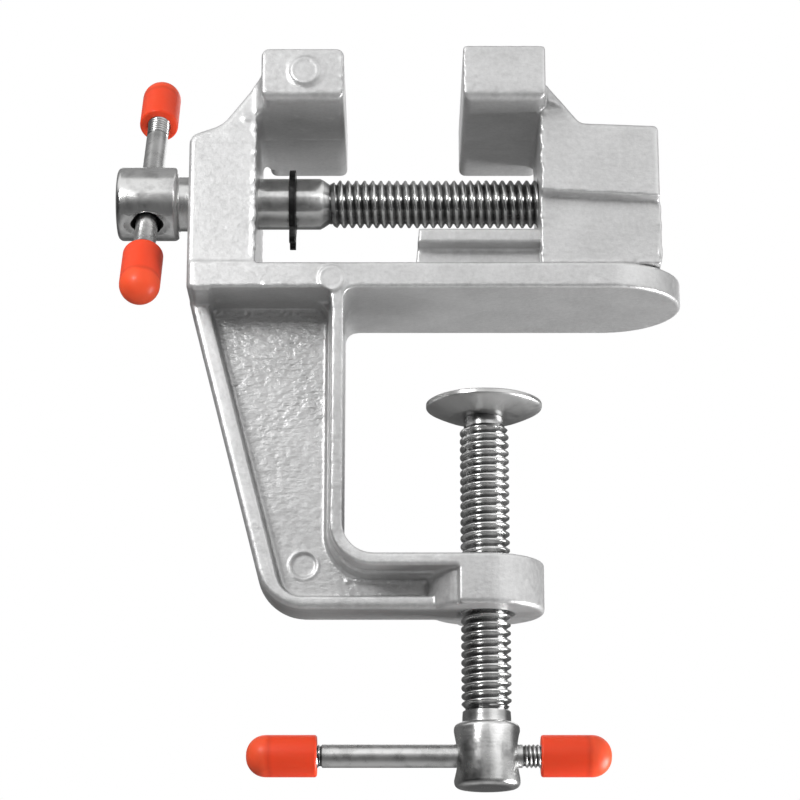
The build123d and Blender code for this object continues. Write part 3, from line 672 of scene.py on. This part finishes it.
# ---------------------------------------------------------------- operators
class VISE_OT_stage(bpy.types.Operator):
    """Lay the floor and set the camera, the lamps and the studio that the bright metal mirrors"""

    bl_idname = "vise.lay_stage"
    bl_label = "Lay the stage"

    def execute(self, context):
        scene = context.scene
        settings = scene.vise_stage
        camera = bpy.data.objects.new("camera", bpy.data.cameras.new("camera"))
        scene.collection.objects.link(camera)
        camera.data.lens = settings.lens
        camera.data.sensor_width = 36
        camera.data.clip_start = 0.01
        camera.location = settings.camera_place
        camera.rotation_euler = (math.pi / 2 + settings.camera_tilt, 0, 0)
        scene.camera = camera
        scene.view_settings.view_transform = "Standard"
        self.light_world(scene)
        self.lay_floor(settings)
        for name, share, size, place, mirrored in LAMPS:
            self.hang_lamp(name, share * settings.key_power, size, place).visible_glossy = mirrored
        return {"FINISHED"}

    def light_world(self, scene):
        """White where it is seen, banded like a studio where it is mirrored, soft and even elsewhere."""
        world = bpy.data.worlds.new("studio")
        scene.world = world
        world.use_nodes = True
        tree = world.node_tree
        tree.nodes.clear()
        add = node_adder(tree)
        way = add("ShaderNodeSeparateXYZ", {"Vector": add("ShaderNodeTexCoord").outputs["Generated"]})
        rise = spread(add, way.outputs["Z"], -1.0, 1.0)
        front = ramp(
            add, rise, (0.0, 0.45), (0.12, 0.16), (0.34, 0.12), (0.47, 0.24),
            (0.60, 0.34), (0.66, 1.0), (0.95, 1.0), (0.975, 0.40),
        )
        back = ramp(add, rise, (0.0, 0.50), (0.10, 0.40), (0.30, 0.12), (0.62, 0.15), (1.0, 0.40))
        tint = ramp(
            add, spread(add, way.outputs["X"], -1.0, 1.0), (0.0, 0.14), (0.25, 0.22), (0.38, 1.0),
            (0.56, 1.0), (0.62, 1.9), (0.90, 1.9), (1.0, 1.2),
        )
        level = ramp(add, rise, (0.20, 0.0), (0.32, 1.0), (0.66, 1.0), (0.78, 0.0))
        sided = blended(add, level, front, tint, "MULTIPLY")
        banded = blended(add, spread(add, way.outputs["Y"], -0.05, 0.30), sided, back)
        path = add("ShaderNodeLightPath").outputs
        seen = combined(add, "MAXIMUM", path["Is Camera Ray"], path["Is Transmission Ray"])
        white = add("ShaderNodeBackground", {"Color": (1, 1, 1, 1), "Strength": 1.0})
        studio = add("ShaderNodeBackground", {"Color": banded, "Strength": 1.0})
        soft = add("ShaderNodeBackground", {"Color": (1, 1, 1, 1), "Strength": 0.22})
        mirrored = add(
            "ShaderNodeMixShader", {0: path["Is Glossy Ray"], 1: soft.outputs[0], 2: studio.outputs[0]}
        )
        mix = add("ShaderNodeMixShader", {0: seen, 1: mirrored.outputs[0], 2: white.outputs[0]})
        add("ShaderNodeOutputWorld", {"Surface": mix.outputs[0]})

    def lay_floor(self, settings):
        """A pale floor under the vise that can be looked through from below."""
        low = cad_bounds[0].z - 0.3 * MM
        half = settings.floor_size / 2
        mesh = bpy.data.meshes.new("floor")
        corners = [(-half, -half, low), (half, -half, low), (half, half, low), (-half, half, low)]
        mesh.from_pydata(corners, [], [(0, 1, 2, 3)])
        floor = new_object("floor", mesh)
        floor.visible_shadow = False
        floor.visible_glossy = False
        material, shader, add, link = node_finish("floor_paint")
        speck = clouds(add, add("ShaderNodeTexCoord").outputs["Object"], 40, 3)
        pale = tuple(settings.floor_colour)
        tone = ramp(add, speck, (0.3, tuple(0.985 * c for c in pale)), (0.7, pale))
        seen = add("ShaderNodeLightPath").outputs["Is Camera Ray"]
        link(blended(add, seen, (0.36, 0.36, 0.36, 1), tone), shader.inputs["Base Color"])
        shader.inputs["Roughness"].default_value = 0.9
        under = add("ShaderNodeNewGeometry").outputs["Backfacing"]
        clear = add("ShaderNodeBsdfTransparent").outputs[0]
        gone = combined(add, "MULTIPLY", under, seen)
        mix = add("ShaderNodeMixShader", {0: gone, 1: shader.outputs[0], 2: clear})
        link(mix.outputs[0], material.node_tree.nodes["Material Output"].inputs["Surface"])
        mesh.materials.append(material)

    def hang_lamp(self, name, power, size, place):
        """A soft box aimed at the vise."""
        lamp = bpy.data.lights.new(name, "AREA")
        lamp.shape = "RECTANGLE"
        lamp.size, lamp.size_y = size
        lamp.energy = power
        holder = bpy.data.objects.new(name, lamp)
        bpy.context.scene.collection.objects.link(holder)
        holder.location = place
        holder.rotation_euler = (LAMP_AIM - Vector(place)).to_track_quat("-Z", "Y").to_euler()
        return holder


class VISE_OT_castings(bpy.types.Operator):
    """Give the frame and the moving jaw their cast skin, burrs and grain"""

    bl_idname = "vise.dress_castings"
    bl_label = "Dress the castings"

    def execute(self, context):
        settings = context.scene.vise_castings
        finish = cast_finish(settings)
        frame_lines = [
            ((-30.3, -10.0, 4.0), (-30.3, -10.0, 22.8), 0.75, 0.30, 1.3),
            ((-30.4, -9.2, 4.0), (-30.4, -9.2, 22.8), 0.6, 0.20, 1.7),
            ((-30.3, 10.0, 4.0), (-30.3, 10.0, 22.8), 0.6, 0.22, 1.3),
            ((-31.7, -10.1, 23.9), (-31.5, -10.1, 23.9), 0.9, 0.35, 0.2),
            ((-18.7, -14.6, 26.0), (-18.7, -14.6, 31.0), 0.5, 0.24, 1.1),
            ((-28.8, -10.1, 0.2), (-27.8, -10.1, 0.2), 0.8, 0.28, 0.6),
            ((-38.6, -10.1, 0.2), (-21.0, -10.1, 0.2), 0.35, 0.10, 1.2),
            ((-38.6, -10.1, 3.4), (24.0, -10.1, 3.4), 0.35, 0.08, 0.9),
            ((-17.0, -10.1, 0.2), (16.0, -10.1, 0.2), 0.35, 0.08, 1.0),
            ((-36.0, -0.8, -0.5), (-21.0, -0.8, -0.5), 0.5, 0.26, 1.8),
            ((-18.0, -0.8, -37.3), (-8.0, -0.8, -37.3), 0.5, 0.22, 1.6),
            ((-6.6, -2.5, -40.0), (-6.6, -2.5, -37.6), 0.7, 0.30, 1.4),
            ((-29.4, 0.0, 24.65), (-18.8, 0.0, 24.65), 0.38, 0.16, 0.5),
        ]
        frame_rings = [
            ((-23.7, -0.8, -35.2), 1.8, 0.36, 0.13),
            ((-20.1, -10.2, 1.2), 1.62, 0.34, 0.08),
            ((-23.7, -14.9, 28.6), 1.75, 0.34, 0.09),
        ]
        frame_grain = [
            ((-39, -1.3, -20), (-20, -0.5, -1.2), 0.9, 0.8),
            ((-45, -1.3, -33), (-20, -0.5, -20), 0.6, 0.8),
            ((-20, -1.3, -41), (-7, -0.5, -37), 1.0, 0.7),
            ((-30.5, -15.2, 25), (-18, -14.4, 32), 0.5, 0.9),
        ]
        body = skin_over(
            "vise_frame_casting", "vise_frame", settings, frame_lines, frame_rings, frame_grain,
            settings.frame_faces,
        )
        body.data.materials.append(finish)
        settle(body, "frame", "cast_aluminium", "vise_frame")
        jaw_lines = [
            ((7.6, -10.0, 13.5), (7.6, -10.0, 22.8), 0.6, 0.24, 1.4),
            ((7.6, -8.1, 4.0), (7.6, -8.1, 13.2), 0.6, 0.24, 1.3),
            ((7.8, -10.1, 13.4), (23.2, -10.1, 12.8), 0.4, 0.14, 0.9),
            ((8.0, -10.1, 26.4), (10.5, -10.1, 25.8), 0.9, 0.32, 0.8),
            ((8.4, -10.1, 28.0), (8.4, -10.1, 25.0), 0.7, 0.26, 1.1),
            ((-2.8, -14.6, 27.0), (-2.8, -14.6, 30.8), 0.5, 0.24, 1.2),
            ((23.3, -8.1, 4.0), (23.3, -8.1, 12.6), 0.5, 0.18, 1.2),
            ((8.0, -8.1, 4.1), (23.0, -8.1, 4.1), 0.4, 0.16, 1.1),
            ((-2.6, 0.0, 24.65), (7.4, 0.0, 24.65), 0.38, 0.12, 0.5),
        ]
        jaw_grain = [
            ((-3.2, -15.0, 25.0), (8.4, -14.2, 32.4), 0.8, 0.9),
            ((7.4, -10.4, 13.5), (24, -9.8, 30.0), 0.35, 0.8),
            ((7.4, -8.5, 3.5), (24, -7.9, 13.5), 0.30, 0.8),
        ]
        jaw = skin_over(
            "moving_jaw_casting", "moving_jaw", settings, jaw_lines, [], jaw_grain, settings.jaw_faces
        )
        jaw.data.materials.append(finish)
        settle(jaw, "jaw", "cast_aluminium", "moving_jaw")
        return {"FINISHED"}


class VISE_OT_lead_screw(bpy.types.Operator):
    """Turn the lead screw with its drilled head, shank, groove and thread, and blacken its ring"""

    bl_idname = "vise.turn_lead_screw"
    bl_label = "Turn the lead screw"

    def execute(self, context):
        settings = context.scene.vise_screws
        low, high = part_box("lead_screw")
        axis_height = (low.z + high.z) / 2
        columns = settings.segments
        left = low.x
        head_radius, head_length, edge = 5.0 * MM, 8.3 * MM, 0.75 * MM
        collar_radius, collar_end = 3.7 * MM, 10.2 * MM
        shank_radius, groove_radius, slack = 3.45 * MM, 3.1 * MM, 0.03 * MM
        seam = 27.4 * MM
        taper_end = seam + 1.3 * MM
        ring_low, ring_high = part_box("retaining_ring")
        groove = ring_low.x - left - slack, ring_high.x - left + slack
        stations = [
            (0, 0, 0), (0, head_radius, edge), (head_length, head_radius, 0.7 * MM),
            (head_length, collar_radius, 0.15 * MM), (collar_end, collar_radius, 0.12 * MM),
            (collar_end, shank_radius, 0), (groove[0], shank_radius, slack), (groove[0], groove_radius, 0),
            (groove[1], groove_radius, 0), (groove[1], shank_radius, slack), (seam, shank_radius, 0),
            (seam, 0, 0),
        ]
        head = drilled_head(stations, columns, head_radius, LEAD_BAR_TILT)
        end = high.x - left
        taper = [(seam, shank_radius), (seam + 0.5 * MM, 3.2 * MM), (taper_end, settings.root)]
        rows = plain_rows(taper, columns)
        rows += thread_rows(
            taper_end, end - 0.25 * MM, settings.pitch, settings.crest, settings.root, columns,
            1.0 * MM, 0.7 * MM,
        )
        rows += plain_rows([(end, settings.root - 0.2 * MM), (end, 0)], columns)
        screw = join_ends("lead_screw_turned", head, turned_mesh("thread", rows, columns), seam)
        screw.matrix_world = axis_matrix((left, 0, axis_height), (1, 0, 0), (0, 1, 0))
        screw.data.materials.append(
            steel_finish(
                "lead_screw_steel", settings.colour, painted_shade_colour=(0.16, 0.16, 0.16), roughness=0.13, rings=2600,
                streaks=300, deep=settings.root, unshaded_radius=settings.crest, painted_hole_shade_radius=4.62 * MM,
            )
        )
        settle(screw, LEAD_BODY, "bright_steel", "lead_screw")
        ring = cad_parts["retaining_ring"]
        ring.data.materials.clear()
        ring.data.materials.append(black_finish())
        return {"FINISHED"}


class VISE_OT_clamp_screw(bpy.types.Operator):
    """Turn the clamp screw with its riveted tip, thread, neck and drilled head"""

    bl_idname = "vise.turn_clamp_screw"
    bl_label = "Turn the clamp screw"

    def execute(self, context):
        settings = context.scene.vise_screws
        low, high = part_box("clamp_screw")
        columns = settings.segments
        bottom = low.z
        head_radius, head_length, edge = 4.25 * MM, 8.3 * MM, 0.75 * MM
        collar_radius, seam = 3.15 * MM, 9.0 * MM
        taper_end = seam + 1.2 * MM
        neck_radius, neck_length, pin_radius, rivet_radius = 2.70 * MM, 1.2 * MM, 1.75 * MM, 2.6 * MM
        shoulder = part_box("clamp_pad")[0].z - 0.05 * MM - bottom
        tip = high.z - bottom
        rivet_bottom = tip - 0.7 * MM
        stations = [
            (0, 0, 0), (0, head_radius, edge), (head_length, head_radius, edge),
            (head_length, collar_radius, 0.1 * MM), (seam, collar_radius, 0), (seam, 0, 0),
        ]
        head = drilled_head(stations, columns, head_radius, 0.0)
        taper = [(seam, collar_radius), (seam + 0.8 * MM, 3.1 * MM), (taper_end, settings.root)]
        rows = plain_rows(taper, columns)
        rows += thread_rows(
            taper_end, shoulder - neck_length, settings.pitch, settings.crest, settings.root, columns,
            0.6 * MM, 0.5 * MM,
        )
        neck_and_tip = [
            (shoulder - neck_length, neck_radius), (shoulder - 0.1 * MM, neck_radius),
            (shoulder, settings.root), (shoulder, pin_radius), (rivet_bottom, pin_radius),
            (rivet_bottom, rivet_radius), (tip - 0.35 * MM, rivet_radius), (tip - 0.1 * MM, 2.45 * MM),
            (tip, 2.2 * MM), (tip, 0),
        ]
        rows += plain_rows(neck_and_tip, columns)
        screw = join_ends("clamp_screw_turned", head, turned_mesh("thread", rows, columns), seam)
        screw.matrix_world = axis_matrix((0, 0, bottom), (0, 0, 1), (1, 0, 0))
        screw.data.materials.append(
            steel_finish(
                "clamp_screw_steel", settings.colour, painted_shade_colour=(0.36, 0.36, 0.36), roughness=0.17, rings=2600,
                streaks=300, deep=settings.root, unshaded_radius=settings.crest, painted_hole_shade_radius=3.80 * MM,
            )
        )
        settle(screw, CLAMP_BODY, "bright_steel", "clamp_screw")
        return {"FINISHED"}


class VISE_OT_bars(bpy.types.Operator):
    """Make the two tommy bars with a thread rolled on each end"""

    bl_idname = "vise.make_bars"
    bl_label = "Make the tommy bars"

    def execute(self, context):
        settings = context.scene.vise_bars
        finish = steel_finish(
            "drawn_bar_steel", context.scene.vise_screws.colour, painted_shade_colour=(0.16, 0.16, 0.16), roughness=0.22,
            rings=60, streaks=2200, deep=settings.root, unshaded_radius=settings.radius,
        )
        for node, body in (("lead_bar", LEAD_BAR_BODY), ("clamp_bar", CLAMP_BAR_BODY)):
            axis = BAR_AXES[node]
            points = [v.co.dot(axis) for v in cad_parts[node].data.vertices]
            start, length = place_along(node, axis, min(points)), max(points) - min(points)
            bar = new_object(f"{node}_rod", self.rod(f"{node}_rod", settings, length))
            bar.matrix_world = bar_matrix(start, axis)
            bar.data.materials.append(finish)
            settle(bar, body, "bright_steel", node)
        return {"FINISHED"}

    def rod(self, name, settings, length):
        """A rod about local Z with a thread at each end, the far one longer."""
        columns = 40
        near, far, fade, bevel, gap = 6.5 * MM, 8.2 * MM, 0.3 * MM, 0.1 * MM, 0.2 * MM
        pitch, radius, root = settings.pitch, settings.radius, settings.root
        rows = plain_rows([(0, 0), (0, root - bevel), (bevel, root)], columns)
        rows += thread_rows(bevel, near, pitch, radius, root, columns, fade, fade)
        rows += plain_rows([(near + gap, radius), (length - far - gap, radius)], columns)
        rows += thread_rows(length - far, length - bevel, pitch, radius, root, columns, fade, fade)
        rows += plain_rows([(length, root - bevel), (length, 0)], columns)
        return turned_mesh(name, rows, columns)


def place_along(bar, axis, reach):
    """The point of a bar's middle line whose distance along the axis is reach."""
    centre = sum(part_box(bar), Vector()) / 2
    return centre + axis * (reach - centre.dot(axis))


class VISE_OT_caps(bpy.types.Operator):
    """Dip the four vinyl caps that close the ends of the bars"""

    bl_idname = "vise.dip_caps"
    bl_label = "Dip the caps"

    def execute(self, context):
        settings = context.scene.vise_caps
        finish = vinyl_finish(settings)
        for node, bar, outward, body in (
            ("lead_bar_cap_lower", "lead_bar", -1, LEAD_BAR_BODY),
            ("lead_bar_cap_upper", "lead_bar", 1, LEAD_BAR_BODY),
            ("clamp_bar_cap_left", "clamp_bar", -1, CLAMP_BAR_BODY),
            ("clamp_bar_cap_right", "clamp_bar", 1, CLAMP_BAR_BODY),
        ):
            axis = BAR_AXES[bar] * outward
            along = [v.co.dot(axis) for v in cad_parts[node].data.vertices]
            mouth = place_along(bar, axis, min(along))
            cap = new_object(f"{node}_vinyl", self.cap(f"{node}_vinyl", settings))
            cap.matrix_world = bar_matrix(mouth, axis)
            cap.data.materials.append(finish)
            settle(cap, body, "red_vinyl", node)
            cap.visible_glossy = False
        return {"FINISHED"}

    def cap(self, name, settings):
        """A cap about local Z, open at zero and domed at the far end."""
        columns = 56
        radius, length = settings.radius, settings.length
        bore, depth, dome = 1.56 * MM, 6.4 * MM, 2.55 * MM
        stations = [
            (depth, 0, 0), (depth, bore, 0.2 * MM), (0.0, bore, 0.22 * MM), (0.0, radius, 0.3 * MM),
            (length, radius, dome), (length, 0, 0),
        ]
        return turned_mesh(name, plain_rows(rounded(stations, 10), columns), columns, smooth_angle=40)


class VISE_OT_pad(bpy.types.Operator):
    """Press the swivel pad with its domed underside, rim and rivet recess"""

    bl_idname = "vise.press_pad"
    bl_label = "Press the swivel pad"

    def execute(self, context):
        low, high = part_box("clamp_pad")
        height = high.z - low.z
        columns = 96
        rim, pin_hole, recess, recess_depth = 7.7 * MM, 1.8 * MM, 3.2 * MM, 1.0 * MM
        stations = [
            (0, pin_hole), (0, 4.45 * MM), (0.06 * MM, 4.7 * MM), (0.27 * MM, 5.3 * MM),
            (0.55 * MM, 5.95 * MM), (0.86 * MM, 6.6 * MM), (1.14 * MM, 7.15 * MM), (1.32 * MM, 7.48 * MM),
            (1.42 * MM, 7.62 * MM), (1.55 * MM, rim), (height - 0.15 * MM, rim), (height, rim - 0.2 * MM),
            (height, 3.35 * MM), (height - 0.1 * MM, recess), (height - recess_depth, recess),
            (height - recess_depth, pin_hole), (0, pin_hole),
        ]
        mesh = turned_mesh("clamp_pad_pressed", plain_rows(stations, columns), columns, smooth_angle=28)
        pad = new_object("clamp_pad_pressed", mesh)
        pad.matrix_world = Matrix.Translation((0, 0, low.z))
        pad.data.materials.append(
            steel_finish(
                "pressed_pad_steel", context.scene.vise_screws.colour, painted_shade_colour=(0.27, 0.27, 0.27),
                roughness=0.30, rings=900, streaks=900, deep=1.5 * MM, unshaded_radius=9.5 * MM,
            )
        )
        settle(pad, "pad", "bright_steel", "clamp_pad")
        return {"FINISHED"}


PIECES = (
    VISE_OT_stage, VISE_OT_castings, VISE_OT_lead_screw, VISE_OT_clamp_screw, VISE_OT_bars,
    VISE_OT_caps, VISE_OT_pad,
)
SETTINGS = (
    ("vise_castings", CastingSettings), ("vise_screws", ScrewSettings), ("vise_bars", BarSettings),
    ("vise_caps", CapSettings), ("vise_stage", StageSettings),
)


class VISE_PT_panel(bpy.types.Panel):
    """Lists the pieces of the vise and their settings"""

    bl_idname = "VISE_PT_panel"
    bl_label = "Bench vise"
    bl_space_type = "VIEW_3D"
    bl_region_type = "UI"
    bl_category = "Bench vise"

    def draw(self, context):
        for piece in PIECES:
            self.layout.operator(piece.bl_idname)
        for name, group in SETTINGS:
            box = self.layout.box()
            for prop in group.__annotations__:
                box.prop(getattr(context.scene, name), prop)


def register():
    """Adds the settings, the operators and the panel."""
    for name, group in SETTINGS:
        bpy.utils.register_class(group)
        setattr(bpy.types.Scene, name, PointerProperty(type=group))
    for item in (*PIECES, VISE_PT_panel):
        bpy.utils.register_class(item)


def unregister():
    """Takes the panel, the operators and the settings away again."""
    for item in reversed((*PIECES, VISE_PT_panel)):
        bpy.utils.unregister_class(item)
    for name, group in reversed(SETTINGS):
        delattr(bpy.types.Scene, name)
        bpy.utils.unregister_class(group)


def main():
    """Makes every piece in order."""
    register()
    for piece in PIECES:
        family, action = piece.bl_idname.split(".")
        getattr(getattr(bpy.ops, family), action)()


if __name__ == "__main__":
    main()
